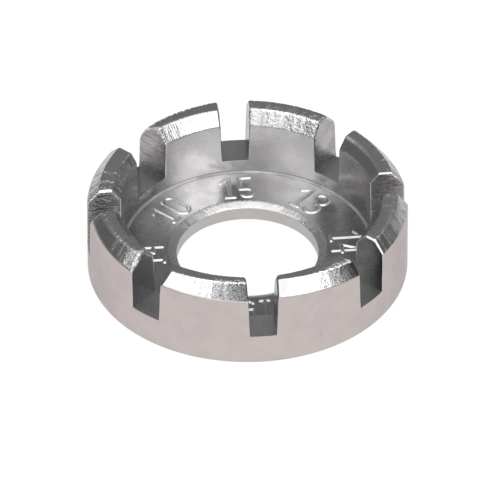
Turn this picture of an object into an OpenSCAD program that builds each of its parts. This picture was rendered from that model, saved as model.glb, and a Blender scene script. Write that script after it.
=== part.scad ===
// Round spoke wrench: a one-piece dish with eight nipple slots in its wall.
// Millimetres. The underside lies at z = 0 and the axis of the dish is the Z axis.
// Slots and jaws are counted clockwise from the slot on +Y, as seen from above.

/* [Body] */
// Outer diameter of the wrench
body_d = 38.5; // [34:0.1:44]
// Overall height, from the underside to the top of the jaws
body_h = 10.9; // [9:0.1:14]
// Thickness of the slotted wall
wall_t = 4.1; // [3.4:0.1:5]
// Thickness of the web that closes the dish
web_t = 2.25; // [1.8:0.05:2.8]
// Width of the web, from the hole to the wall
web_w = 6.65; // [5.5:0.05:7.5]
// Height of the slot floors above the underside
floor_h = 4; // [3.6:0.1:5]
// Radius of the fillet where the wall meets the web
root_r = 0.5; // [0.3:0.1:0.9]
// Radius along the outer edge of the underside
foot_r = 0.4; // [0.2:0.05:0.6]

/* [Hole] */
// Width of the softened ring around the top of the hole
lip_run = 0.9; // [0.6:0.1:1.3]
// Depth of the softened ring at the hole
lip_drop = 0.45; // [0.2:0.05:0.6]
// Chamfer around the hole on the underside
hole_chamfer = 0.2; // [0.1:0.05:0.4]

/* [Jaws] */
// Chamfer along the outer edge of the jaws
outer_chamfer = 1.45; // [1:0.05:1.6]
// Radius that blends the outer chamfer into the wall
shoulder_r = 2; // [1:0.1:3]
// Width of the chamfer along the inner edge of the jaws
inner_run = 1.35; // [0.8:0.05:1.6]
// Depth of the chamfer along the inner edge of the jaws
inner_drop = 1.5; // [1:0.05:2]

/* [Slots] */
// Lean of each slot cheek, in degrees
cheek_draft = 1.7; // [0:0.1:3]
// Floor width of slot 1, marked 15
slot_1_w = 3.2; // [2.8:0.05:3.6]
// Floor width of slot 2, marked 13
slot_2_w = 3.6; // [3.2:0.05:4]
// Floor width of slot 3, marked 14
slot_3_w = 3.5; // [3:0.05:3.9]
// Floor width of slot 4, marked 11
slot_4_w = 4.05; // [3.7:0.05:4.6]
// Floor width of slot 5, marked 15
slot_5_w = 3.2; // [2.8:0.05:3.6]
// Floor width of slot 6, marked 12
slot_6_w = 4; // [3.6:0.05:4.4]
// Floor width of slot 7, marked 14
slot_7_w = 3.35; // [3:0.05:3.9]
// Floor width of slot 8, marked 10
slot_8_w = 5.05; // [4.6:0.05:5.6]

/* [Gauge numbers] */
// Clear distance from a number to the softened ring around the hole and to the fillet
mark_clear = 0.525; // [0.3:0.025:0.7]
// How far the digits stand up from the web
relief_h = 0.25; // [0.1:0.05:0.4]
// Width of a digit, as a share of its height
digit_width_share = 0.48; // [0.44:0.01:0.5]
// Distance between the middles of a number's two digits, as a share of their height
digit_spacing_share = 0.5; // [0.49:0.01:0.6]
// Width of a digit's strokes, as a share of its height
stroke_share = 0.12; // [0.08:0.01:0.14]
// Width of the foot of a figure one, as a share of its height
foot_share = 0.37; // [0.26:0.01:0.46]
// Width of the flag of a figure one, as a share of its height
flag_share = 0.25; // [0.16:0.01:0.31]
// How far the flag of a figure one slopes down, as a share of its height
flag_drop_share = 0.2; // [0.1:0.01:0.26]

/* [Hidden] */
// Smoothness of the preview; the true surfaces are exact
$fn = 96;
// How far a cutting solid runs past what it cuts
overrun = 0.5;
// Share of a figure four's height that lies below its crossbar
crossbar_share = 0.27;
// Angles at which a figure three's bowls end, short of a closed ring
three_opening_angle = 40;
// Share of the stroke by which the middle strokes of a figure three's bowls lie apart
three_middle_share = 0.25;
// Angle at which the bowl of a figure five ends, below its middle
five_tail_angle = 30;
// Angle at which the curve of a figure two runs into its slope
two_turn_angle = 25;

slot_widths = [slot_1_w, slot_2_w, slot_3_w, slot_4_w, slot_5_w, slot_6_w, slot_7_w, slot_8_w];
slot_marks = ["15", "13", "14", "11", "15", "12", "14", "10"];
slot_count = len(slot_widths);
slot_step = 360 / slot_count;

outer_r = body_d / 2;
inner_r = outer_r - wall_t;
hole_r = inner_r - web_w;
jaw_h = body_h - floor_h;
shoulder_reach = shoulder_r * tan(45 / 2);

// Edges of the flat band of the web that the numbers fill
band_in = hole_r + lip_run;
band_out = inner_r - root_r;
mark_r = (band_in + band_out) / 2;
digit_h = band_out - band_in - 2 * mark_clear;
digit_w = digit_h * digit_width_share;
stroke_w = digit_h * stroke_share;

// Direction of slot i from the axis, counted clockwise from +Y
function slot_angle(i) = 90 - slot_step * (i - 1);

// Half the width of slot i at height z
function half_width(i, z) = slot_widths[(i - 1) % slot_count] / 2 + (z - floor_h) * tan(cheek_draft);

// Disc with the hole, the softened ring around it and the fillet that runs up to the wall
module web() {
    color("silver")
    rotate_extrude()
    difference() {
        union() {
            translate([hole_r, 0])
            square([inner_r - hole_r, web_t]);
            translate([inner_r - root_r, 0])
            square([root_r, web_t + root_r]);
        }
        translate([inner_r - root_r, web_t + root_r])
        circle(root_r);
        polygon([
            [hole_r, web_t - lip_drop],
            [hole_r, web_t],
            [hole_r + lip_run, web_t]
        ]);
        polygon([
            [hole_r, 0],
            [hole_r + hole_chamfer, 0],
            [hole_r, hole_chamfer]
        ]);
    }
}

// Low ring under the jaws, whose top is the floor of every slot
module rim() {
    color("silver")
    rotate_extrude()
    difference() {
        translate([inner_r, 0])
        square([wall_t, floor_h]);
        difference() {
            translate([outer_r - foot_r, 0])
            square([foot_r, foot_r]);
            translate([outer_r - foot_r, foot_r])
            circle(foot_r);
        }
    }
}

// Cross-section of a jaw: flat top, inner chamfer, and outer chamfer blended into the wall
module jaw_section() {
    shoulder_z = body_h - outer_chamfer - shoulder_reach;
    difference() {
        translate([inner_r, floor_h])
        square([wall_t, jaw_h]);
        polygon([
            [outer_r - outer_chamfer, body_h],
            [outer_r, body_h],
            [outer_r, body_h - outer_chamfer]
        ]);
        polygon([
            [inner_r, body_h - inner_drop],
            [inner_r, body_h],
            [inner_r + inner_run, body_h]
        ]);
        difference() {
            translate([outer_r - shoulder_reach * cos(45), shoulder_z])
            square([shoulder_reach, shoulder_reach * (1 + cos(45))]);
            translate([outer_r - shoulder_r, shoulder_z])
            circle(shoulder_r);
        }
    }
}

// Space of slot i, wider towards its mouth by the lean of its cheeks
module slot_space(i) {
    top_z = body_h + overrun;
    bottom_z = floor_h - overrun;
    rotate([0, 0, slot_angle(i)])
    translate([inner_r - wall_t, 0, 0])
    rotate([90, 0, 90])
    linear_extrude(wall_t + wall_t + overrun)
    polygon([
        [-half_width(i, bottom_z), bottom_z],
        [half_width(i, bottom_z), bottom_z],
        [half_width(i, top_z), top_z],
        [-half_width(i, top_z), top_z]
    ]);
}

// Block of the wall between slot i and the next one clockwise
module jaw(i) {
    color("silver")
    difference() {
        rotate([0, 0, slot_angle(i + 1)])
        rotate_extrude(angle = slot_step)
        jaw_section();
        slot_space(i);
        slot_space(i + 1);
    }
}

// Straight stroke of a digit from point a to point b, with square ends half a stroke past both
module bar(a, b) {
    d = b - a;
    translate([a.x, a.y, 0])
    rotate([0, 0, atan2(d.y, d.x)])
    translate([-stroke_w / 2, -stroke_w / 2, 0])
    cube([norm(d) + stroke_w, stroke_w, relief_h]);
}

// Round stroke of a digit about point c, from angle a0 through the given sweep
module bow(c, r, a0, sweep) {
    translate([c.x, c.y, 0])
    rotate([0, 0, a0])
    rotate_extrude(angle = sweep)
    translate([r - stroke_w / 2, 0])
    square([stroke_w, relief_h]);
}

// Digit n, standing on z = 0 with its middle at the origin and its top towards +Y
module digit(n) {
    x = (digit_w - stroke_w) / 2;
    y = (digit_h - stroke_w) / 2;
    // Heights of the middles of the two round halves
    high = y - x;
    low = x - y;
    if (n == "0") {
        bow([0, high], x, 0, 180);
        bow([0, low], x, 180, 180);
        bar([-x, low], [-x, high]);
        bar([x, low], [x, high]);
    }
    if (n == "1") {
        bar([0, -y], [0, y]);
        foot_x = (digit_h * foot_share - stroke_w) / 2;
        bar([0, y], [-digit_h * flag_share, y - digit_h * flag_drop_share]);
        bar([-foot_x, -y], [foot_x, -y]);
    }
    if (n == "2") {
        slope_start = [x * cos(two_turn_angle), high - x * sin(two_turn_angle)];
        bow([0, high], x, -two_turn_angle, 180 + two_turn_angle);
        bar(slope_start, [-x, -y]);
        bar([-x, -y], [x, -y]);
    }
    if (n == "3") {
        bowl = y / 2 - stroke_w * three_middle_share / 4;
        bow([x - bowl, y - bowl], bowl, -90, 270 - three_opening_angle);
        bow([x - bowl, bowl - y], bowl, three_opening_angle - 180, 270 - three_opening_angle);
        bar([0, 0], [x - bowl, 0]);
    }
    if (n == "4") {
        crossbar_y = digit_h * crossbar_share - y;
        stem_x = x / 2;
        bar([stem_x, -y], [stem_x, y]);
        bar([stem_x, y], [-x, crossbar_y]);
        bar([-x, crossbar_y], [x, crossbar_y]);
    }
    if (n == "5") {
        bowl_top = low + x;
        bow([0, low], x, five_tail_angle - 180, 270 - five_tail_angle);
        bar([-x, bowl_top], [0, bowl_top]);
        bar([-x, bowl_top], [-x, y]);
        bar([-x, y], [x - stroke_w / 2, y]);
    }
}

// Raised gauge number in front of each slot, read with its top towards the slot
module gauge_numbers() {
    color("whitesmoke")
    for (i = [1:slot_count])
        rotate([0, 0, slot_angle(i) - 90])
        for (j = [0, 1])
            translate([digit_h * digit_spacing_share * (j - 1 / 2), mark_r, web_t])
            digit(slot_marks[i - 1][j]);
}

web();
rim();
for (i = [1:slot_count])
    jaw(i);
gauge_numbers();
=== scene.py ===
"""Looks of a round, dish-shaped spoke wrench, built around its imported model.

The wrench is one plated casting: a ring with a hole in its web, a thick wall cut by slots, and raised gauge
numbers. The casting is one closed surface here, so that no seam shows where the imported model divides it.
Sizes are in millimetres and become metres where a mesh is made.
"""

import logging
import math
from dataclasses import dataclass
from enum import Enum
from functools import cache
from typing import Iterable, Sequence

import bpy
import numpy as np
from mathutils import Matrix, Vector


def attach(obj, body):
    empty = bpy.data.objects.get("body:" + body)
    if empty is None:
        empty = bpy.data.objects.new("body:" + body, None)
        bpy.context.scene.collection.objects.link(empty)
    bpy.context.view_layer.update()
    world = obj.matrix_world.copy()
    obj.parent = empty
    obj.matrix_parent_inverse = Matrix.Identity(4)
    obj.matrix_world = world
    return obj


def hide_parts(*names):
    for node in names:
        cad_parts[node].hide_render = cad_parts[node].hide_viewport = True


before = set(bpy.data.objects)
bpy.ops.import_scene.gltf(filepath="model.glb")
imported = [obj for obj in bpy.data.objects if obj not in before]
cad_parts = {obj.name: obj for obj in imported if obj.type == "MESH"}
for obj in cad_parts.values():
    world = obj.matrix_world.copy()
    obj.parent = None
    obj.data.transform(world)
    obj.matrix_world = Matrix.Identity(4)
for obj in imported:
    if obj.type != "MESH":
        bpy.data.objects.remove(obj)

Array = np.ndarray
Socket = bpy.types.NodeSocket
Pair = tuple[float, float]
Colour = tuple[float, float, float]

MM = 0.001
# Millimetres that one unit of the surface coordinates stands for
LAY_UNIT = 100.0
# Steps to the millimetre at which points count as one
WELD_GRID = 1e4
# Angle from which an edge shows sharp
SHARP = math.radians(50)
ROOT = "root"
LAY = "lay"
FOIL = "foil"
HAIRS = "hairs"
# Mesh attribute of painted shade: how far a surface's colour darkens towards black
PAINTED_SHADE = "painted_shade"
log = logging.getLogger("spoke_wrench")


class Zone(Enum):
    """Regions of the casting, each with its own finish. The value is the material's place in the mesh."""

    WALL = 0
    CHAMFER = 1
    CREST = 2
    CHEEK = 3
    SLOT_FLOOR = 4
    INNER_WALL = 5
    WEB = 6
    LIP = 7
    BORE = 8
    UNDERSIDE = 9
    ROOT = 10


# Shapes


@dataclass(frozen=True)
class Corner:
    """A corner of a profile, with sizes that are the same all round or differ from column to column.

    Args:
        r: Distance from the axis.
        z: Height above the underside.
        radius: Radius of the arc that rounds it, 0 at a chain's two ends.
        steps: Number of steps along that arc.
        zone: Region that the arc belongs to.
    """

    r: float | Array
    z: float | Array
    radius: float | Array = 0.0
    steps: int = 0
    zone: Zone = Zone.WALL

    def places(self, cols: int) -> Array:
        """Returns the corner's place in each of the columns."""
        return np.stack([np.zeros(cols) + self.r, np.zeros(cols) + self.z], -1)


@dataclass
class Profile:
    """A meridian's points and outward normals, rows by columns by 2, and the region of each step."""

    points: Array
    normals: Array
    zones: Array

    def __add__(self, other: "Profile") -> "Profile":
        """Returns this profile and one that starts where it ends, with as many columns as the wider one.

        Args:
            other: The profile that follows.
        """
        cols = max(self.points.shape[1], other.points.shape[1])
        points, normals = (
            np.concatenate([np.broadcast_to(v, (len(v), cols, 2)) for v in (a, b[1:])])
            for a, b in ((self.points, other.points), (self.normals, other.normals))
        )
        return Profile(points, normals, np.concatenate([self.zones, other.zones]))


def lengths(points: Array) -> Array:
    """Returns the distance along a grid's columns from its first row to each row."""
    steps = np.linalg.norm(np.diff(points, axis=0), axis=-1)
    return np.concatenate([np.zeros((1, steps.shape[1])), np.cumsum(steps, axis=0)])


def smooth(t: Array) -> Array:
    """Returns a smooth step, 0 up to 0 and 1 from 1 on."""
    t = np.clip(t, 0, 1)
    return t * t * (3 - 2 * t)


def between(ends: Pair, share: Array) -> Array:
    """Returns values that run evenly from the first of two ends to the second."""
    return ends[0] + (ends[1] - ends[0]) * share


def turned(v: Array, angle: float | Array) -> Array:
    """Returns plane vectors turned to the left by an angle in radians."""
    c, s = np.cos(angle), np.sin(angle)
    return np.stack([v[..., 0] * c - v[..., 1] * s, v[..., 0] * s + v[..., 1] * c], -1)


def around(r: Array, angle: Array, z: Array) -> Array:
    """Returns the places in space of points given by their distance from the axis, direction and height."""
    return np.stack([r * np.cos(angle), r * np.sin(angle), z], -1)


def rounded_chain(corners: Sequence[Corner], lines: Sequence[tuple[int, Zone]]) -> Profile:
    """Returns the profile of straight lines through the corners, with an arc at each inner corner.

    An arc touches both of its lines. Its points are its centre plus or minus the radius times the normal,
    which turns by equal angles from the first line's to the second's. The outside lies to the left.

    Args:
        corners: The corners in order, with the solid to the right of the way.
        lines: For each line, its number of steps and its region.
    """
    cols = max(np.size(v) for c in corners for v in (c.r, c.z, c.radius))
    at = [c.places(cols) for c in corners]
    ways = [(b - a) / np.linalg.norm(b - a, axis=-1, keepdims=True) for a, b in zip(at, at[1:])]
    sides = [turned(w, math.pi / 2) for w in ways]
    points, normals, zones = [at[0][None]], [sides[0][None]], []
    start = at[0]
    for k, (steps, zone) in enumerate(lines):
        last = k == len(lines) - 1
        corner = corners[k + 1]
        following = ways[k] if last else ways[k + 1]
        bend = np.arctan2(np.cross(ways[k], following), (ways[k] * following).sum(-1))
        radius = np.asarray(corner.radius + np.zeros(cols))[:, None]
        end = at[k + 1] - ways[k] * radius * np.tan(np.abs(bend) / 2)[:, None]
        share = np.linspace(0, 1, steps + 1)[1:, None, None]
        points.append(start + share * (end - start))
        normals.append(np.repeat(sides[k][None], steps, 0))
        zones.append(np.full(steps, zone.value))
        if last:
            break
        centre = end + np.sign(bend)[:, None] * radius * sides[k]
        turns = np.linspace(0, 1, corner.steps + 1)[1:, None] * bend
        n = turned(np.broadcast_to(sides[k], (corner.steps, cols, 2)), turns)
        points.append(centre - np.sign(bend)[:, None] * radius * n)
        normals.append(n)
        zones.append(np.full(corner.steps, corner.zone.value))
        start = points[-1][-1]
    return Profile(np.concatenate(points), np.concatenate(normals), np.concatenate(zones))


@dataclass
class Patch:
    """A grid of points, rows by columns, that becomes quads.

    Args:
        points: Places.
        lay: Surface coordinates in millimetres.
        zones: Region of each step between rows.
        marks: How strongly the surface is crumpled and scratched, and how far painted shade darkens it.
        flip: Whether the quads run the other way round.
    """

    points: Array
    lay: Array
    zones: Array
    marks: Array
    flip: bool = False

    def quads(self) -> Array:
        """Returns each quad's corners: a point, the one below and their neighbours to the right."""
        rows, cols = self.points.shape[:2]
        n = np.arange(rows * cols).reshape(rows, cols)
        q = np.stack([n[:-1, :-1], n[1:, :-1], n[1:, 1:], n[:-1, 1:]], -1).reshape(-1, 4)
        return q[:, ::-1] if self.flip else q


def placed(name: str, data: bpy.types.ID) -> bpy.types.Object:
    """Returns a new object of the scene.

    Args:
        name: Its name.
        data: The mesh, lamp or camera that it holds.
    """
    obj = bpy.data.objects.new(name, data)
    bpy.context.scene.collection.objects.link(obj)
    return obj


def new_mesh(name: str, points: Array, faces: Sequence[Sequence[int]]) -> bpy.types.Mesh:
    """Returns a smooth mesh.

    Args:
        name: Its name.
        points: Its points in millimetres.
        faces: The numbers of each face's points.
    """
    mesh = bpy.data.meshes.new(name)
    mesh.from_pydata((points * MM).tolist(), [], faces)
    mesh.polygons.foreach_set("use_smooth", np.ones(len(faces), bool))
    return mesh


def mesh_of(name: str, patches: Sequence[Patch]) -> bpy.types.Object:
    """Returns patches joined into one closed mesh, with points that coincide welded.

    Args:
        name: Name of the new object.
        patches: The patches, whose edges meet point for point.
    """
    points = np.concatenate([p.points.reshape(-1, 3) for p in patches])
    starts = np.cumsum([0] + [p.points.shape[0] * p.points.shape[1] for p in patches[:-1]])
    quads = np.concatenate([p.quads() + s for p, s in zip(patches, starts)])
    zones = np.concatenate([np.repeat(p.zones, p.points.shape[1] - 1) for p in patches])
    lay = np.concatenate([p.lay.reshape(-1, 2) for p in patches])
    marks = np.concatenate([p.marks.reshape(-1, 3) for p in patches])
    grid = np.round(points * WELD_GRID).astype(np.int64)
    _, first, place = np.unique(grid, axis=0, return_index=True, return_inverse=True)
    mesh = new_mesh(name, points[first], place.reshape(-1)[quads].tolist())
    mesh.polygons.foreach_set("material_index", zones.astype(np.int32))
    uv = mesh.uv_layers.new(name=LAY)
    uv.data.foreach_set("uv", (lay[quads.reshape(-1)] / LAY_UNIT).astype(np.float32).ravel())
    for k, label in enumerate((FOIL, HAIRS, PAINTED_SHADE)):
        values = marks[quads.reshape(-1), k].astype(np.float32)
        mesh.attributes.new(label, "FLOAT", "CORNER").data.foreach_set("value", values)
    mesh.validate()
    mesh.set_sharp_from_angle(angle=SHARP)
    return placed(name, mesh)


# Kinds of irregular waves: a number of cosines, and the lengths that they lie between
SWAY = (8, 0.8, 4.0)
RAGGED = (16, 0.35, 1.2)
WEAR = (5, 1.0, 4.0)


def waves(place: Array, seed: int, kind: tuple[int, float, float]) -> Array:
    """Returns a smooth irregular wave: a sum of cosines with a mean square of one half.

    Args:
        place: Places along the wave.
        seed: Seed that draws the cosines' lengths, phases and heights.
        kind: Number of cosines, and the lengths that they lie between.
    """
    rng = np.random.default_rng(seed)
    count, shortest, longest = kind
    length = np.exp(rng.uniform(math.log(shortest), math.log(longest), count))
    phase = rng.uniform(0, 2 * math.pi, count)
    height = rng.uniform(0.5, 1.0, count)
    total = (height * np.cos(2 * math.pi * place[..., None] / length + phase)).sum(-1)
    return total / np.sqrt((height**2).sum())


# Degrees from one slot to the next
SLOT_STEP = 45


@dataclass(frozen=True)
class Slot:
    """A slot in the wall.

    Args:
        number: Its number, counted clockwise from the one at the back.
        width: Width of its floor.
        mark: The gauge number beside it.
        hairs: How strongly the broach scratched its cheeks, where 1 is full.
        painted_shade: Share by which painted shade darkens its cheeks and floor.
        foot: Further share of painted shade that darkens its floor and the feet of its cheeks.
        mouth: Radius of its edges at the crest.
    """

    number: int
    width: float
    mark: str
    hairs: float = 0.15
    painted_shade: float = 0.0
    foot: float = 0.0
    mouth: float = 0.36

    @property
    def angle(self) -> float:
        """Direction of the slot from the axis, in radians."""
        return math.radians(90 - SLOT_STEP * (self.number - 1))


# The last values of some slots darken their cheeks and floors with painted shade
SLOTS = (
    Slot(1, 3.2, "15"),
    Slot(2, 3.6, "13", hairs=0.7, foot=0.1),
    Slot(3, 3.5, "14", hairs=1.5, mouth=0.22),
    Slot(4, 4.05, "11", painted_shade=0.48),
    Slot(5, 3.2, "15", mouth=0.42),
    Slot(6, 4.0, "12", painted_shade=0.18, mouth=0.6),
    Slot(7, 3.35, "14", hairs=1.6),
    Slot(8, 5.05, "10", hairs=2.0, foot=0.45),
)


@dataclass(frozen=True)
class Grinding:
    """How a jaw's two long edges were ground by hand.

    A pair is the value at the jaw's clockwise end and the one at its other end.

    Args:
        outer_run: Width of the outer chamfer across the crest.
        outer_drop: Depth of the outer chamfer down the wall.
        inner_run: Width of the inner chamfer.
        inner_drop: Depth of the inner chamfer.
        shoulder: Radius between the outer chamfer and the wall.
        soft: Radius of the other long edges.
        brow: Radius between the crest and the outer chamfer, or None where it is soft too.
        ragged: How strongly that radius and the soft ones vary along the jaw.
        outer_foil: How strongly the wheel crumpled the outer chamfer; below 0 is none, 1 is full.
        outer_hairs: How strongly it drew hairlines across the outer chamfer.
        outer_painted_shade: Share by which painted shade darkens the outer chamfer.
        inner_foil: How strongly it crumpled the inner chamfer.
        inner_hairs: How strongly it drew hairlines across the inner chamfer.
    """

    outer_run: Pair = (1.45, 1.45)
    outer_drop: Pair = (1.45, 1.45)
    inner_run: Pair = (1.3, 1.3)
    inner_drop: Pair = (1.5, 1.5)
    shoulder: Pair = (0.9, 0.9)
    soft: Pair = (0.34, 0.34)
    brow: Pair | None = None
    ragged: float = 0.2
    outer_foil: Pair = (0.1, 0.1)
    outer_hairs: Pair = (0.3, 0.3)
    outer_painted_shade: Pair = (0.0, 0.0)
    inner_foil: Pair = (0.1, 0.1)
    inner_hairs: Pair = (0.2, 0.2)


GRINDINGS = {
    1: Grinding(
        outer_run=(1.45, 1.15), outer_drop=(1.6, 1.3), inner_run=(1.0, 1.3), inner_drop=(1.8, 1.55),
        shoulder=(1.4, 1.2), ragged=0.6, inner_foil=(0.5, 0.4), inner_hairs=(0.5, 0.1),
    ),
    2: Grinding(
        outer_drop=(1.7, 1.9), inner_run=(1.1, 1.1), inner_drop=(1.3, 1.5), shoulder=(1.2, 1.0),
        soft=(0.4, 0.8), ragged=0.0, outer_foil=(0.5, 0.0), inner_foil=(0.0, 0.0),
        inner_hairs=(0.0, 0.0),
    ),
    3: Grinding(
        outer_run=(1.4, 1.25), outer_drop=(1.5, 1.9), shoulder=(0.4, 0.6), soft=(0.4, 0.75),
        outer_hairs=(0.4, 1.0), inner_foil=(0.0, 0.4), inner_hairs=(0.0, 0.5),
    ),
    # Jaws 4 and 5 take painted shade towards one end of their outer chamfers
    4: Grinding(
        outer_run=(1.9, 1.15), outer_drop=(1.2, 1.9), shoulder=(0.6, 0.4), ragged=0.6,
        outer_foil=(-1.3, 1.6), outer_hairs=(0.0, 0.5), outer_painted_shade=(-1.1, 0.85),
    ),
    5: Grinding(
        outer_run=(1.46, 1.7), outer_drop=(1.46, 1.75), shoulder=(0.6, 0.4), ragged=0.6,
        outer_foil=(-0.9, 1.5), outer_hairs=(0.0, 0.5), outer_painted_shade=(-0.5, 0.6),
    ),
    6: Grinding(
        outer_run=(1.5, 1.6), outer_drop=(1.5, 1.7), shoulder=(1.6, 0.4), soft=(0.75, 0.34),
        brow=(1.2, 0.34), outer_foil=(-0.9, 0.6),
    ),
    7: Grinding(
        inner_run=(0.8, 1.1), inner_drop=(1.2, 1.4), shoulder=(1.3, 1.0), outer_foil=(0.0, 0.5),
        inner_foil=(0.0, 0.5),
    ),
    8: Grinding(
        outer_run=(1.1, 1.45), outer_drop=(1.3, 2.3), inner_drop=(1.5, 1.7), shoulder=(1.2, 3.4),
        brow=(0.34, 1.6), ragged=0.6, inner_foil=(-0.8, 0.4), inner_hairs=(-0.4, 1.2),
    ),
}


@dataclass
class Casting:
    """The ring, its web and its jaws as one closed surface.

    The surface follows a meridian all round. Between two slots the meridian climbs over a jaw, and at a slot
    it crosses the slot's floor. Columns of points beside a slot run parallel to its cheeks. Within a radius R
    of a slot's outline, at a distance D, the surface sinks in by R minus the root of (R squared minus the
    square of (R minus D)), which rounds the slot's edges. R grows from burr_r at the floor over edge_r to the
    slot's own radius at the crest.

    A jaw counts as jaw_run long in the waves of its edges, whose seeds lie seed_step apart from jaw to jaw.
    Radius_cap limits the ragged radii. In the surface coordinates the cheeks of two slots lie lay_step apart.
    """

    outer_r: float = 19.25
    height: float = 10.9
    wall: float = 4.1
    web_t: float = 2.25
    web_w: float = 6.65
    floor_h: float = 4.0
    root_r: float = 0.3
    foot_r: float = 0.4
    lip_run: float = 0.9
    lip_drop: float = 0.45
    lip_inner_r: float = 0.2
    lip_outer_r: float = 0.9
    hole_chamfer: float = 0.2
    bore_edge_r: float = 0.1
    radius_cap: float = 1.1
    draft: float = math.radians(1.7)
    burr_r: float = 0.02
    edge_r: float = 0.11
    mouth_h: float = 8.1
    foot_top: float = 6.0
    foot_fade: float = 1.0
    sway: float = 0.012
    mark_sways: tuple[float, float, float] = (0.2, 0.2, 0.0)
    jaw_run: float = 12.0
    seed_step: int = 50
    lay_step: float = 40.0
    edge_steps: int = 4
    side_steps: int = 22
    across_steps: int = 5
    edge_share: float = 0.02
    slot_steps: int = 12
    jaw_steps: int = 96
    slots: Sequence[Slot] = SLOTS

    @property
    def inner_r(self) -> float:
        """Radius of the wall's inside."""
        return self.outer_r - self.wall

    def turns(self) -> Array:
        """Returns the angles of the points on a rounded edge, from the wall to the slot."""
        return np.linspace(0, math.pi / 2, self.edge_steps + 1)

    def across(self) -> Array:
        """Returns the places of the points across the wall: one near each edge, the others evenly."""
        inner = np.linspace(self.edge_share, 1 - self.edge_share, self.across_steps - 1)
        return np.concatenate([[0], inner, [1]])

    def low_inside(self) -> Profile:
        """Returns the meridian from the hole's underside, over the web, to the level of the slot floors."""
        hole, web, wall = self.inner_r - self.web_w, self.web_t, self.inner_r
        chain = rounded_chain(
            [
                Corner(hole + self.hole_chamfer, 0),
                Corner(hole, self.hole_chamfer, self.bore_edge_r, 2, Zone.BORE),
                Corner(hole, web - self.lip_drop, self.lip_inner_r, 4, Zone.LIP),
                Corner(hole + self.lip_run, web, self.lip_outer_r, 5, Zone.LIP),
                Corner(wall, web, self.root_r, 6, Zone.ROOT),
                Corner(wall, self.floor_h - self.burr_r),
            ],
            [(1, Zone.BORE), (2, Zone.BORE), (2, Zone.LIP), (4, Zone.WEB), (1, Zone.INNER_WALL)],
        )
        return chain + self.floor_edge(wall, -1.0, Zone.INNER_WALL)

    def low_outside(self) -> Profile:
        """Returns the meridian from the level of the slot floors, down the wall, to the hole's underside."""
        edge = self.floor_edge(self.outer_r, 1.0, Zone.WALL)
        down = Profile(edge.points[::-1], edge.normals[::-1], edge.zones)
        chain = rounded_chain(
            [
                Corner(self.outer_r, self.floor_h - self.burr_r),
                Corner(self.outer_r, 0, self.foot_r, 5, Zone.WALL),
                Corner(self.inner_r - self.web_w + self.hole_chamfer, 0),
            ],
            [(2, Zone.WALL), (4, Zone.UNDERSIDE)],
        )
        return down + chain

    def floor_edge(self, radius: float, outward: float, zone: Zone) -> Profile:
        """Returns the last stretch of a wall below the slot floors, with the points of the rounded edge.

        They lie burr_r times (1 minus the sine of the turn) below the floor.

        Args:
            radius: Radius of the wall.
            outward: 1 on the outside, -1 on the inside.
            zone: Region of the stretch.
        """
        z = self.floor_h - self.burr_r * (1 - np.sin(self.turns()))
        points = np.stack([np.full_like(z, radius), z], -1)[:, None]
        normals = np.broadcast_to(np.array([outward, 0.0]), points.shape)
        return Profile(points, normals, np.full(len(z) - 1, zone.value))

    def over_jaw(self, ground: Grinding, share: Array, seed: int) -> Profile:
        """Returns the meridians from the inside, over a jaw, to the outside, at and above the slot floors.

        Each size runs evenly from one end of the jaw to the other, with slight waves in the chamfers and
        stronger ones in the radii, which make the edges ragged. Up to the crest and down from it there are
        side_steps steps each, so that a cheek can be spanned between the two sides.

        Args:
            ground: How the jaw was ground.
            share: Place of each column along the jaw, from 0 to 1.
            seed: Seed of the waves.
        """
        place = share * self.jaw_run
        sizes = [ground.inner_run, ground.inner_drop, ground.outer_run, ground.outer_drop]
        in_run, in_drop, out_run, out_drop = (
            between(size, share) + self.sway * waves(place, seed + k, SWAY) for k, size in enumerate(sizes)
        )
        radii = [ground.soft, ground.soft, ground.brow or ground.soft]
        foot, inner, outer = (
            np.minimum(
                between(radius, share) * np.exp(ground.ragged * waves(place, seed + len(sizes) + k, RAGGED)),
                max(self.radius_cap, *radius),
            )
            for k, radius in enumerate(radii)
        )
        shoulder = between(ground.shoulder, share)
        arc, flat, turn = 5, 6, 7
        return rounded_chain(
            [
                Corner(self.inner_r, self.floor_h),
                Corner(self.inner_r, self.height - in_drop, foot, arc, Zone.CHAMFER),
                Corner(self.inner_r + in_run, self.height, inner, arc, Zone.CREST),
                Corner(self.outer_r - out_run, self.height, outer, arc, Zone.CREST),
                Corner(self.outer_r, self.height - out_drop, shoulder, turn, Zone.WALL),
                Corner(self.outer_r, self.floor_h),
            ],
            [
                (self.side_steps - 2 * arc - flat, Zone.INNER_WALL),
                (flat, Zone.CHAMFER),
                (self.across_steps, Zone.CREST),
                (flat, Zone.CHAMFER),
                (self.side_steps - arc - turn - flat, Zone.WALL),
            ],
        )

    def half_width(self, slot: Slot, z: Array) -> Array:
        """Returns half a slot's width at the heights z: its floor's below the floor, and wider above it."""
        return slot.width / 2 + np.maximum(z - self.floor_h, 0) * math.tan(self.draft)

    def rounding(self, z: Array, mouth: float | Array) -> Array:
        """Returns the radius of a slot's edges.

        It is burr_r at the floor. Smooth steps take it to edge_r a millimetre up and to mouth at the crest.

        Args:
            z: Heights.
            mouth: The radius at the crest.
        """
        low = smooth(z - self.floor_h)
        high = smooth((z - self.mouth_h) / (self.height - self.mouth_h))
        return self.burr_r + (self.edge_r - self.burr_r) * low + (mouth - self.edge_r) * high

    def sunk(self, profile: Profile, aside: float | Array, mouth: float | Array) -> tuple[Array, Array]:
        """Sinks a profile's points in near a slot's outline.

        Args:
            profile: The profile.
            aside: Distance of each point to the slot's cheek, 0 between its cheeks.
            mouth: Radius of the slot's edges at the crest.

        Returns:
            Distances from the axis and heights.
        """
        level = profile.points[..., 1]
        radius = self.rounding(level, mouth)
        distance = np.hypot(aside, np.clip(self.floor_h - level, 0, None))
        near = np.clip(radius - distance, 0, radius)
        sink = radius - np.sqrt(radius**2 - near**2)
        at = profile.points - sink[..., None] * profile.normals
        return at[..., 0], at[..., 1]

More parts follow.
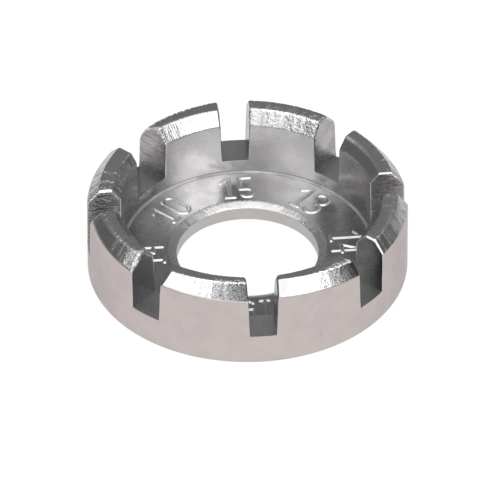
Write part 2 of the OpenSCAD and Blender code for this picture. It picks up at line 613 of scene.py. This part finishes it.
    def beside(self, slot: Slot, side: float, r: Array, z: Array, away: Array) -> Array:
        """Returns the slot's direction plus or minus the arc sine of (half width plus away) over r."""
        return slot.angle + side * np.arcsin((self.half_width(slot, z) + away) / r)

    def jaw_patches(self, first: Slot, second: Slot) -> list[Patch]:
        """Returns the stretch of the ring between two slots, and the cheeks at its ends.

        Each point's direction runs evenly from beside the first slot to beside the second one.

        Args:
            first: The slot at the stretch's clockwise end.
            second: The slot at its other end, whose number the jaw bears.
        """
        ground = GRINDINGS[second.number]
        away = 1 - np.sin(self.turns()[::-1])
        middle = np.linspace(0, 1, self.jaw_steps + 1)[1:-1]
        share = np.concatenate([np.zeros(len(away)), middle, np.ones(len(away))])
        low_in, low_out = self.low_inside(), self.low_outside()
        high = self.over_jaw(ground, share, self.seed_step * second.number)
        whole = low_in + high + low_out
        mouth = between((first.mouth, second.mouth), share)
        aside = np.concatenate([away, np.ones(len(middle)), away[::-1]])
        aside = aside * self.rounding(whole.points[..., 1], mouth)
        r, z = self.sunk(whole, aside, mouth)
        a = self.beside(first, 1.0, r, z, aside)
        b = self.beside(second, -1.0, r, z, aside)
        b = a + np.mod(b - a, 2 * math.pi)
        angle = a * (1 - share) + b * share
        lay = np.stack([angle * self.outer_r, lengths(whole.points)], -1)
        crest = len(low_in.points) + self.side_steps + self.across_steps // 2
        # Each chamfer's marks: foil, hairs and painted shade, which only the outer chamfer takes
        on_inner = (ground.inner_foil, ground.inner_hairs, (0.0, 0.0))
        on_outer = (ground.outer_foil, ground.outer_hairs, ground.outer_painted_shade)
        inner, outer = (
            [self.marks(e, share, second.number, sway) for e, sway in zip(ends, self.mark_sways)]
            for ends in (on_inner, on_outer)
        )
        beyond = np.arange(len(whole.points)) > crest
        marks = np.stack([np.stack(inner, -1), np.stack(outer, -1)])[beyond.astype(int)]
        rows = slice(len(low_in.points) - 1, len(low_in.points) - 1 + len(high.points))
        return [
            Patch(around(r, angle, z), lay, whole.zones, marks),
            self.cheek(first, 1.0, r[rows, 0], z[rows, 0]),
            self.cheek(second, -1.0, r[rows, -1], z[rows, -1]),
        ]

    def marks(self, ends: Pair, share: Array, seed: int, sway: float) -> Array:
        """Returns how strongly a chamfer is marked along a jaw, from 0 to 1.

        It runs evenly between the two ends' values, with irregular waves of a height sway on it, and is then
        smoothed. A value below 0 is none.
        """
        wave = sway * waves(share * self.jaw_run, seed, WEAR) * (max(ends) > 0)
        return smooth(between(ends, share) + wave)

    def cheek(self, slot: Slot, side: float, r: Array, z: Array) -> Patch:
        """Returns a cheek, which spans a jaw's end between its inner and its outer side.

        Each row runs straight from a point of the inner side to the outer one with the same number, and every
        point lies in the cheek's plane. Painted shade darkens it more at its foot, up to foot_top.

        Args:
            slot: The slot that the cheek bounds.
            side: 1 at the slot's counterclockwise side, -1 at the other.
            r: Distances from the axis along the jaw's end.
            z: Heights along the jaw's end.
        """
        n = self.side_steps
        t = np.repeat(self.across()[None], n + 1, 0)
        t[-1] = np.linspace(0, 1, self.across_steps + 1)
        rr, zz = (v[: n + 1, None] * (1 - t) + v[::-1][: n + 1, None] * t for v in (r, z))
        angle = self.beside(slot, side, rr, zz, np.zeros_like(rr))
        lay = np.stack([rr + self.lay_step * (slot.number + side / 2), zz], -1)
        # Painted shade at the cheek's foot, fading out up to foot_top
        foot = slot.foot * np.clip((self.foot_top - zz) / self.foot_fade, 0, 1)
        marks = np.stack([np.zeros_like(zz), np.full_like(zz, slot.hairs), slot.painted_shade + foot], -1)
        return Patch(around(rr, angle, zz), lay, np.full(n, Zone.CHEEK.value), marks, flip=side > 0)

    def slot_patch(self, slot: Slot) -> Patch:
        """Returns the stretch of the ring at a slot, whose meridian crosses the slot's floor.

        Args:
            slot: The slot.
        """
        low_in, low_out = self.low_inside(), self.low_outside()
        (r_in, z_in), (r_out, z_out) = (self.sunk(low, 0.0, slot.mouth) for low in (low_in, low_out))
        t = self.across()[1:-1, None]
        r = np.concatenate([r_in, r_in[-1:] * (1 - t) + r_out[:1] * t, r_out])
        z = np.concatenate([z_in, np.full_like(t, self.floor_h), z_out])
        crossing = np.full(self.across_steps, Zone.SLOT_FLOOR.value)
        zones = np.concatenate([low_in.zones, crossing, low_out.zones])
        aside = np.linspace(-1, 1, self.slot_steps + 1)[None] * slot.width / 2
        angle = slot.angle + np.arcsin(aside / r)
        along = lengths(np.stack([r, z], -1))
        lay = np.stack([angle * self.outer_r, along + np.zeros_like(angle)], -1)
        points = around(r, angle, z + np.zeros_like(angle))
        # Painted shade darkens the slot's floor
        marks = np.broadcast_to([0.0, 0.0, slot.painted_shade + slot.foot], points.shape)
        return Patch(points, lay, zones, marks)

    def build(self) -> bpy.types.Object:
        """Returns the closed surface of the casting."""
        ring = sorted(self.slots, key=lambda s: s.angle)
        patches: list[Patch] = []
        for k, slot in enumerate(ring):
            patches.append(self.slot_patch(slot))
            patches.extend(self.jaw_patches(slot, ring[(k + 1) % len(ring)]))
        return mesh_of("casting", patches)

    def dress(self, obj: bpy.types.Object) -> None:
        """Gives each region its finish, and says what nodes the casting stands for."""
        jaws = (f"jaw_{slot.number}" for slot in self.slots)
        declare(obj, (FINISHES[zone] for zone in Zone), ("web", "rim", *jaws))


def to_segment(x: Array, y: Array, stroke: Sequence[float]) -> Array:
    """Returns the distance of points to a straight stroke: to the nearest point between its ends.

    Args:
        x: Places across.
        y: Places up.
        stroke: Across and up of its first end, then of its second.
    """
    ax, ay, bx, by = stroke
    dx, dy = bx - ax, by - ay
    t = np.clip(((x - ax) * dx + (y - ay) * dy) / (dx * dx + dy * dy), 0, 1)
    return np.hypot(x - ax - t * dx, y - ay - t * dy)


def to_arc(x: Array, y: Array, stroke: Sequence[float]) -> Array:
    """Returns the distance of points to a round stroke: to its circle within the sweep, else to its ends.

    Args:
        x: Places across.
        y: Places up.
        stroke: Across and up of its centre, its radius, and its start and sweep in degrees.
    """
    cx, cy, r, start, sweep = stroke
    turn = np.mod(np.degrees(np.arctan2(y - cy, x - cx)) - start, 360)
    on = np.abs(np.hypot(x - cx, y - cy) - r)
    ends = [math.radians(start), math.radians(start + sweep)]
    off = np.minimum(*(np.hypot(x - cx - r * math.cos(e), y - cy - r * math.sin(e)) for e in ends))
    return np.where(turn <= sweep, on, off)


@dataclass
class GaugeNumbers:
    """The raised gauge numbers on the web.

    A digit is a sheet over the web whose height follows the distance to the middle of the nearest stroke:
    full near the middle, then down along a smooth step to just under the web's surface. The step runs from
    the distance full to the distance gone and ends sunk below the surface. The skirt reaches skirt below it.
    """

    middle_r: float = 12.025
    digit_h: float = 4.2
    digit_w: float = 2.016
    spacing: float = 2.1
    stroke: float = 0.504
    foot_w: float = 1.554
    flag_w: float = 1.05
    flag_drop: float = 0.84
    crossbar_share: float = 0.27
    bowl_share: float = 0.25
    two_turn: float = 25.0
    three_opening: float = 40.0
    five_tail: float = 30.0
    relief: float = 0.17
    web_t: float = 2.25
    full: float = 0.08
    gone: float = 0.36
    sunk: float = 0.03
    skirt: float = 0.4
    margin: float = 0.16
    step: float = 0.06
    slots: Sequence[Slot] = SLOTS

    def strokes(self) -> dict[str, list[tuple[float, ...]]]:
        """Returns each digit's strokes about its middle: a straight one has 4 numbers, a round one 5."""
        w, h = (self.digit_w - self.stroke) / 2, (self.digit_h - self.stroke) / 2
        high, low = h - w, w - h
        bowl = h / 2 - self.stroke * self.bowl_share / 4
        foot = (self.foot_w - self.stroke) / 2
        bar = self.digit_h * self.crossbar_share - h
        turn = math.radians(self.two_turn)
        slope = (w * math.cos(turn), high - w * math.sin(turn))
        round_3 = 270 - self.three_opening
        return {
            "0": [(0, high, w, 0, 180), (0, low, w, 180, 180), (-w, low, -w, high), (w, low, w, high)],
            "1": [(0, -h, 0, h), (0, h, -self.flag_w, h - self.flag_drop), (-foot, -h, foot, -h)],
            "2": [(0, high, w, -self.two_turn, 180 + self.two_turn), (*slope, -w, -h), (-w, -h, w, -h)],
            "3": [
                (w - bowl, h - bowl, bowl, -90, round_3),
                (w - bowl, bowl - h, bowl, self.three_opening - 180, round_3),
                (0, 0, w - bowl, 0),
            ],
            "4": [(w / 2, -h, w / 2, h), (w / 2, h, -w, bar), (-w, bar, w, bar)],
            "5": [
                (0, low, w, self.five_tail - 180, 270 - self.five_tail),
                (-w, low + w, 0, low + w),
                (-w, low + w, -w, h),
                (-w, h, w - self.stroke / 2, h),
            ],
        }

    def sheet(self, slot: Slot, place: int) -> tuple[Array, list[list[int]]]:
        """Returns one digit as a closed piece: the sheet, its skirt and its bottom.

        Args:
            slot: The slot that the number belongs to.
            place: 0 for the left digit and 1 for the right.

        Returns:
            The points in millimetres, and the faces.
        """
        w, h = self.digit_w / 2 + self.margin, self.digit_h / 2 + self.margin
        nx, ny = round(2 * w / self.step), round(2 * h / self.step)
        x, y = np.meshgrid(np.linspace(-w, w, nx + 1), np.linspace(-h, h, ny + 1))
        strokes = self.strokes()[slot.mark[place]]
        away = np.minimum.reduce([(to_arc if len(s) == 5 else to_segment)(x, y, s) for s in strokes])
        rise = smooth((self.gone - away) / (self.gone - self.full))
        z = self.web_t - self.sunk + (self.relief + self.sunk) * rise
        x, y, z = (np.pad(v, 1, mode="reflect", reflect_type="odd") for v in (x, y, z))
        z[[0, -1], :] = z[:, [0, -1]] = self.web_t - self.skirt
        x = x + self.spacing * (place - 0.5)
        y = y + self.middle_r
        c, s = math.cos(slot.angle - math.pi / 2), math.sin(slot.angle - math.pi / 2)
        points = np.stack([x * c - y * s, x * s + y * c, z], -1)
        n = np.arange(z.size).reshape(z.shape)
        quads = np.stack([n[:-1, :-1], n[:-1, 1:], n[1:, 1:], n[1:, :-1]], -1).reshape(-1, 4)
        rim = np.concatenate([n[0, :-1], n[:-1, -1], n[-1, :0:-1], n[:0:-1, 0]])
        return points.reshape(-1, 3), quads.tolist() + [rim[::-1].tolist()]

    def build(self) -> bpy.types.Object:
        """Returns all the digits as one object."""
        sheets = [self.sheet(slot, place) for slot in self.slots for place in (0, 1)]
        starts = np.cumsum([0] + [len(points) for points, _ in sheets]).tolist()
        faces = [[start + k for k in face] for start, (_, own) in zip(starts, sheets) for face in own]
        mesh = new_mesh("raised_numbers", np.concatenate([points for points, _ in sheets]), faces)
        mesh.validate()
        return placed("raised_numbers", mesh)

    def dress(self, obj: bpy.types.Object) -> None:
        """Gives the digits their finish, and says what node they stand for."""
        declare(obj, (NUMBER_FINISH,), ("gauge_numbers",))


# Finishes

# Colour that painted shade darkens towards
BLACK = (0.0, 0.0, 0.0)


class Lines(Enum):
    """What a finish's streaks follow."""

    ACROSS = "across the profile's run"
    ALONG = "along the profile's run"


def grey(value: float) -> tuple[float, float, float, float]:
    """Returns a grey as red, green, blue and alpha."""
    return (value, value, value, 1.0)


class Net:
    """A tree of shader nodes, with short ways to add to it.

    A value of a node's input is a socket to link, or else a plain value.
    """

    def __init__(self, tree: bpy.types.NodeTree) -> None:
        """Keeps the tree."""
        self.tree = tree

    def feed(self, node: bpy.types.Node, inputs: dict) -> None:
        """Gives a node's inputs their values.

        Args:
            node: The node.
            inputs: The values by the names or numbers of the inputs.
        """
        for key, value in inputs.items():
            if isinstance(value, Socket):
                self.tree.links.new(value, node.inputs[key])
            else:
                node.inputs[key].default_value = value

    def add(self, kind: str, inputs: dict | None = None, **settings: object) -> bpy.types.Node:
        """Returns a new node.

        Args:
            kind: Blender's name of the node, from after ShaderNode on.
            inputs: The values of its inputs, by name or number.
            settings: The values of its own settings, which come first.
        """
        node = self.tree.nodes.new("ShaderNode" + kind)
        for key, value in settings.items():
            setattr(node, key, value)
        self.feed(node, inputs or {})
        return node

    def math(self, operation: str, *values: Socket | float) -> Socket:
        """Returns the result of a math node."""
        return self.add("Math", dict(enumerate(values)), operation=operation).outputs[0]

    def mix(self, share: Socket, first: Socket | Colour, second: Colour) -> Socket:
        """Returns a colour that goes from the first to the second as the share goes from 0 to 1."""
        first, second = (c if isinstance(c, Socket) else (*c, 1.0) for c in (first, second))
        return self.add("Mix", {0: share, 6: first, 7: second}, data_type="RGBA").outputs[2]

    def ramp(self, value: Socket, low: float, high: float, start: float = 0.0, end: float = 1.0) -> Socket:
        """Returns a smooth step, from start where the value is at low to end where it is at high."""
        inputs = {"Value": value, "From Min": low, "From Max": high, "To Min": start, "To Max": end}
        return self.add("MapRange", inputs, interpolation_type="SMOOTHSTEP").outputs[0]

    def noise(self, place: Socket, scale: float, detail: float = 2.0, rough: float = 0.5) -> Socket:
        """Returns a noise, about 0.5 on average, with scale spots to the unit of its coordinates."""
        inputs = {"Vector": place, "Scale": scale, "Detail": detail, "Roughness": rough}
        return self.add("TexNoise", inputs).outputs[0]

    def stretched(self, place: Socket, scale: Sequence[float]) -> Socket:
        """Returns coordinates times three factors."""
        return self.add("Mapping", {"Vector": place, "Scale": scale}).outputs[0]

    def attribute(self, name: str) -> Socket:
        """Returns one of the mesh's own values."""
        return self.add("Attribute", attribute_name=name).outputs["Fac"]

    def bump(self, height: Socket, depth: float, under: Socket | None = None) -> Socket:
        """Returns the normal of a bump.

        Args:
            height: Its height.
            depth: How deep a height of 1 is, in millimetres.
            under: The normal that it lies over, or None where that is the mesh's.
        """
        inputs = {"Height": height, "Distance": depth * MM}
        if under is not None:
            inputs["Normal"] = under
        return self.add("Bump", inputs).outputs["Normal"]


def new_group(name: str, inputs: dict, outputs: Sequence[str]) -> tuple[Net, bpy.types.Node]:
    """Returns the net of an empty shader node group, and its input node.

    Args:
        name: Name of the group.
        inputs: Names of its inputs, each with its value, or None where it takes coordinates.
        outputs: Names of its outputs, which put out values.
    """
    group = bpy.data.node_groups.new(name, "ShaderNodeTree")
    for label, default in inputs.items():
        kind = "NodeSocketVector" if default is None else "NodeSocketFloat"
        socket = group.interface.new_socket(label, in_out="INPUT", socket_type=kind)
        if default is not None:
            socket.default_value = default
    for label in outputs:
        group.interface.new_socket(label, in_out="OUTPUT", socket_type="NodeSocketFloat")
    return Net(group), group.nodes.new("NodeGroupInput")


@cache
def cast_grain() -> bpy.types.NodeTree:
    """Returns the group for the skin of a plated casting: fine grain, slow mottling and rare pits.

    Height is the grain, Mottle the slow patches from 0 to 1, and Pits a mask that is 1 in a pit.
    """
    net, start = new_group("cast_grain", {"Place": None}, ("Height", "Mottle", "Pits"))
    place = start.outputs["Place"]
    fine = net.noise(place, scale=3.2, detail=3.0, rough=0.6)
    slow = net.noise(place, scale=0.42, detail=3.0, rough=0.55)
    cells = net.add("TexVoronoi", {"Vector": place, "Scale": 0.62})
    pits = net.ramp(cells.outputs["Distance"], 0.07, 0.12, start=1.0, end=0.0)
    rare = net.ramp(net.noise(place, scale=0.3), 0.55, 0.6)
    values = {
        "Height": net.math("MULTIPLY_ADD", net.noise(place, scale=0.55), 1.6, fine),
        "Mottle": net.ramp(slow, 0.36, 0.66),
        "Pits": net.math("MULTIPLY", pits, rare),
    }
    net.feed(net.tree.nodes.new("NodeGroupOutput"), values)
    return net.tree


@cache
def ground_marks() -> bpy.types.NodeTree:
    """Returns the group for the marks of a grinding wheel or a broach: crumpled cells and hairlines.

    Height is the marks' height, Specks a mask of the cells' grains, and Scratches a mask of the deep
    hairlines.
    """
    inputs = {"Place": None, "Lines": None, "Foil": 0.0, "Hairs": 1.0}
    net, start = new_group("ground_marks", inputs, ("Height", "Specks", "Scratches"))
    place, lines, foil, hairs = (start.outputs[label] for label in inputs)
    hairlines = net.math("SUBTRACT", net.noise(lines, scale=1.0, detail=3.0, rough=0.65), 0.5)
    grains = net.noise(place, scale=3.4, rough=0.6)
    lumps = net.noise(place, scale=1.3, detail=1.0)
    cells = net.math("MULTIPLY_ADD", lumps, 0.8, net.math("SUBTRACT", grains, 0.9))
    drawn = net.math("MULTIPLY", net.math("MULTIPLY", hairlines, 0.25), hairs)
    deep = net.math("MULTIPLY", net.ramp(hairlines, 0.03, 0.15), hairs)
    values = {
        "Height": net.math("ADD", net.math("MULTIPLY", cells, foil), drawn),
        "Specks": net.math("MULTIPLY", net.ramp(grains, 0.42, 0.62), foil),
        "Scratches": net.math("MINIMUM", deep, 1.0),
    }
    net.feed(net.tree.nodes.new("NodeGroupOutput"), values)
    return net.tree


@dataclass(frozen=True)
class Plating:
    """A bright plated finish on cast or ground metal.

    Args:
        name: Name of the material.
        tint: Reflected colour where the mottling is low.
        shade: Reflected colour where it is high.
        rough: Roughness where the mottling is low.
        rougher: Roughness where it is high.
        grain: Depth of the cast grain, in millimetres.
        marks: Depth of the ground marks, in millimetres.
        lines: What the marks follow, or None where there are none.
        line_scale: Marks a millimetre, across and along.
        edge: Tint of the reflection where the surface turns away from the eye.
        takes_painted_shade: Whether the mesh's attribute of painted shade darkens it.
        pits: Share by which a pit darkens the colour.
        scratch_shade: Share by which painted shade in a deep hairline darkens it.
        speckled: How much rougher the bright grains of crumpled cells are.
        pit_colour_and_shade: Colour that pits darken towards, and deep hairlines too as painted shade.
    """

    name: str
    tint: Colour = (0.54, 0.54, 0.545)
    shade: Colour = (0.5, 0.5, 0.505)
    rough: float = 0.25
    rougher: float = 0.33
    grain: float = 0.002
    marks: float = 0.0
    lines: Lines | None = None
    line_scale: Pair = (6.0, 0.4)
    edge: float = 0.8
    takes_painted_shade: bool = False
    pits: float = 0.0
    scratch_shade: float = 0.0
    speckled: float = 0.08
    pit_colour_and_shade: Colour = (0.12, 0.1, 0.095)

    def material(self) -> bpy.types.Material:
        """Returns the finish's material."""
        mat = bpy.data.materials.new(self.name)
        mat.use_nodes = True
        net = Net(mat.node_tree)
        place = net.stretched(net.add("TexCoord").outputs["Object"], (1 / MM,) * 3)
        skin = net.add("Group", node_tree=cast_grain())
        net.feed(skin, {"Place": place})
        mottle = skin.outputs["Mottle"]
        rough = net.ramp(mottle, 0.0, 1.0, start=self.rough, end=self.rougher)
        normal = net.bump(skin.outputs["Height"], self.grain)
        colour = net.mix(mottle, self.tint, self.shade)
        # Painted shade: the mesh's attribute darkens the colour towards black
        if self.takes_painted_shade:
            colour = net.mix(net.attribute(PAINTED_SHADE), colour, BLACK)
        if self.pits:
            colour = net.mix(net.math("MULTIPLY", skin.outputs["Pits"], self.pits), colour, self.pit_colour_and_shade)
        if self.lines:
            marks = self.ground(net, place)
            normal = net.bump(marks["Height"], self.marks, normal)
            rough = net.math("ADD", rough, net.ramp(marks["Specks"], 0.0, 1.0, end=self.speckled))
            # Painted shade in the deep hairlines darkens the colour
            if self.scratch_shade:
                colour = net.mix(net.math("MULTIPLY", marks["Scratches"], self.scratch_shade), colour, self.pit_colour_and_shade)
        values = {
            "Base Color": colour,
            "Metallic": 1.0,
            "Roughness": rough,
            "Specular Tint": grey(self.edge),
            "Normal": normal,
        }
        net.feed(net.tree.nodes["Principled BSDF"], values)
        return mat

    def ground(self, net: Net, place: Socket) -> bpy.types.bpy_prop_collection:
        """Returns the outputs of the ground marks, with streaks along or across the surface.

        Args:
            net: The material's net.
            place: Coordinates in millimetres.
        """
        many, few = (scale * LAY_UNIT for scale in self.line_scale)
        scale = (many, few, 1.0) if self.lines is Lines.ALONG else (few, many, 1.0)
        inputs = {
            "Place": place,
            "Lines": net.stretched(net.add("UVMap", uv_map=LAY).outputs["UV"], scale),
            "Foil": net.attribute(FOIL),
            "Hairs": net.attribute(HAIRS),
        }
        marks = net.add("Group", node_tree=ground_marks())
        net.feed(marks, inputs)
        return marks.outputs


FINISHES = {
    Zone.WALL: Plating(
        "satin_wall", tint=(0.53, 0.472, 0.463), shade=(0.505, 0.452, 0.444), rough=0.3,
        rougher=0.36, edge=0.72, pits=0.3,
    ),
    Zone.CHAMFER: Plating(
        "ground_chamfer", rough=0.17, rougher=0.25, grain=0.003, marks=0.36, lines=Lines.ALONG,
        line_scale=(5.0, 0.5), scratch_shade=0.8, takes_painted_shade=True,
    ),
    Zone.CREST: Plating(
        "ground_crest", tint=(0.8, 0.79, 0.785), shade=(0.58, 0.565, 0.56), rough=0.22,
        rougher=0.32, grain=0.006, marks=0.2, lines=Lines.ALONG,
    ),
    Zone.CHEEK: Plating(
        "slot_cheek", tint=(0.44, 0.43, 0.427), shade=(0.37, 0.36, 0.358), rough=0.2, rougher=0.28,
        marks=0.36, lines=Lines.ACROSS, line_scale=(3.6, 0.3), scratch_shade=0.5, takes_painted_shade=True,
    ),
    Zone.SLOT_FLOOR: Plating(
        "slot_floor", tint=(0.72, 0.72, 0.73), shade=(0.66, 0.66, 0.67), grain=0.003, takes_painted_shade=True,
    ),
    Zone.INNER_WALL: Plating(
        "inner_wall", tint=(0.5, 0.485, 0.482), shade=(0.47, 0.456, 0.453), rough=0.24, rougher=0.3,
        grain=0.003,
    ),
    Zone.WEB: Plating(
        "web_face", tint=(0.53, 0.53, 0.535), shade=(0.48, 0.48, 0.485), rough=0.24, rougher=0.31,
        grain=0.014,
    ),
    Zone.LIP: Plating("hole_lip", grain=0.07, pits=0.2),
    Zone.BORE: Plating(
        "hole_wall", tint=(0.47, 0.45, 0.44), shade=(0.45, 0.43, 0.42), rough=0.28, rougher=0.34,
    ),
    Zone.UNDERSIDE: Plating("underside", rough=0.34, rougher=0.42, grain=0.004, pits=0.5),
    # Painted shade: the root fillet is tinted darker than the web, in the corner where the web meets the wall
    Zone.ROOT: Plating(
        "root_fillet", tint=(0.43, 0.425, 0.425), shade=(0.34, 0.335, 0.335), rough=0.5,
        rougher=0.62, grain=0.05,
    ),
}
NUMBER_FINISH = Plating("raised_figures", rough=0.3, rougher=0.38, grain=0.008)


def declare(obj: bpy.types.Object, finishes: Iterable[Plating], nodes: Iterable[str]) -> None:
    """Gives an object its finishes, and says what it rides on and stands for.

    Args:
        obj: The object.
        finishes: Its finishes, in the order of its faces' material numbers.
        nodes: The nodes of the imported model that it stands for.
    """
    for finish in finishes:
        obj.data.materials.append(finish.material())
    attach(obj, ROOT)
    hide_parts(*nodes)


# Studio


@dataclass(frozen=True)
class Glow:
    """A round bright part of the room, with angles in degrees.

    Args:
        azimuth: Direction of its middle.
        elevation: Height of its middle.
        inner: Angle from the middle to where it starts to fade.
        outer: Angle from the middle to where it ends.
        radiance: How much brightness it adds.
    """

    azimuth: float
    elevation: float
    inner: float
    outer: float
    radiance: float


@dataclass
class Studio:
    """Floor, lamps, world and camera.

    The camera stands at the photograph's angle, far off with a long lens. Pixels are those of a 499 by 499
    picture.
    """

    azimuth: float = -5.6
    elevation: float = 38.1
    distance: float = 1.4
    pixels_per_mm: float = 8.325
    picture: float = 499.0
    aim_right: float = -2.0
    aim_up: float = 21.7
    roll: float = -0.15
    centre_z: float = 5.45
    sensor: float = 36.0
    clip: Pair = (0.05, 20.0)
    floor_size: float = 6.0
    floor_rough: float = 0.9
    floor_grey: float = 0.22
    floor_glow: float = 0.815
    ambient: float = 0.17
    glows: Sequence[Glow] = (
        Glow(-6.0, 60.0, 46.0, 64.0, 1.25),
        Glow(36.0, 38.0, 6.0, 28.0, 2.3),
        Glow(-54.0, 44.0, 8.0, 36.0, 1.0),
        Glow(-18.0, 42.0, 6.0, 22.0, -0.8),
    )
    softbox_radiance: float = 0.45
    softbox_size: float = 1.1
    softbox_distance: float = 1.2
    softbox_elevation: float = 78.0

    def way(self, azimuth: float, elevation: float) -> Vector:
        """Returns the unit vector from the object towards an azimuth and an elevation, in degrees."""
        a, e = math.radians(azimuth), math.radians(elevation)
        return Vector((math.sin(a) * math.cos(e), -math.cos(a) * math.cos(e), math.sin(e)))

    def camera(self) -> None:
        """Makes the camera, moved sideways so that the object lies where the photograph has it."""
        back = self.way(self.azimuth, self.elevation)
        right = Vector((0, 0, 1)).cross(back).normalized()
        up = back.cross(right)
        tilt = Matrix.Rotation(math.radians(self.roll), 3, back)
        right, up = tilt @ right, tilt @ up
        per_px = MM / self.pixels_per_mm
        aim = (right * self.aim_right + up * self.aim_up) * per_px
        target = Vector((0, 0, self.centre_z * MM)) - aim
        data = bpy.data.cameras.new("camera")
        data.sensor_width = self.sensor
        data.lens = self.pixels_per_mm / MM * self.distance * self.sensor / self.picture
        data.clip_start, data.clip_end = self.clip
        cam = placed("camera", data)
        axes = Matrix((right, up, back)).transposed()
        cam.matrix_world = Matrix.Translation(target + back * self.distance) @ axes.to_4x4()
        bpy.context.scene.camera = cam

    def floor(self) -> None:
        """Makes the pale floor, which shows white and keeps a soft shadow.

        Part of its brightness is its own and is seen by the camera, by reflections and through glass alone.
        """
        mat = bpy.data.materials.new("floor_paper")
        mat.use_nodes = True
        net = Net(mat.node_tree)
        shader = net.tree.nodes["Principled BSDF"]
        net.feed(shader, {"Base Color": grey(self.floor_grey), "Roughness": self.floor_rough})
        net.feed(shader, {"Specular IOR Level": 0.0})
        paths = net.add("LightPath").outputs
        seen = net.math("MAXIMUM", paths["Is Camera Ray"], paths["Is Glossy Ray"])
        seen = net.math("MAXIMUM", seen, paths["Is Transmission Ray"])
        glow = net.add("Emission", {"Color": grey(self.floor_glow), "Strength": seen})
        both = net.add("AddShader", {0: shader.outputs[0], 1: glow.outputs[0]})
        net.feed(net.tree.nodes["Material Output"], {"Surface": both.outputs[0]})
        half = self.floor_size / 2
        corners = [(-half, -half, 0), (half, -half, 0), (half, half, 0), (-half, half, 0)]
        mesh = bpy.data.meshes.new("floor")
        mesh.from_pydata(corners, [], [(0, 1, 2, 3)])
        mesh.materials.append(mat)
        placed("floor", mesh)

    def softbox(self) -> None:
        """Hangs a square lamp that faces the object; its power is pi times its area times its radiance."""
        data = bpy.data.lights.new("softbox", "AREA")
        data.shape = "SQUARE"
        data.size = self.softbox_size
        data.energy = math.pi * self.softbox_size**2 * self.softbox_radiance
        way = self.way(self.azimuth, self.softbox_elevation)
        lamp = placed("softbox", data)
        lamp.location = way * self.softbox_distance
        lamp.rotation_euler = way.to_track_quat("Z", "Y").to_euler()

    def world(self) -> None:
        """Surrounds the object with a dim room and its glows: a tent above, two lights and a darker part.

        A glow falls smoothly from full to none, by the cosine of a direction's angle to its middle.
        """
        world = bpy.data.worlds.new("room")
        world.use_nodes = True
        net = Net(world.node_tree)
        outward = net.add("TexCoord").outputs["Generated"]
        strength: Socket | float = self.ambient
        for glow in self.glows:
            way = self.way(glow.azimuth, glow.elevation)
            near = net.add("VectorMath", {0: outward, 1: way}, operation="DOT_PRODUCT").outputs["Value"]
            edges = (math.cos(math.radians(angle)) for angle in (glow.outer, glow.inner))
            strength = net.math("ADD", net.ramp(near, *edges, end=glow.radiance), strength)
        net.feed(net.tree.nodes["Background"], {"Color": grey(1.0), "Strength": strength})
        bpy.context.scene.world = world

    def build(self) -> None:
        """Sets up the whole studio."""
        self.camera()
        self.floor()
        self.world()
        self.softbox()
        bpy.context.scene.view_settings.view_transform = "Standard"


def main() -> None:
    """Builds the wrench and its studio, and reports each piece."""
    logging.basicConfig(level=logging.INFO, format="%(name)s: %(message)s")
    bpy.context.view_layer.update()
    Studio().build()
    for part in (Casting(), GaugeNumbers()):
        piece = part.build()
        part.dress(piece)
        log.info("%s: %d faces", piece.name, len(piece.data.polygons))


if __name__ == "__main__":
    main()
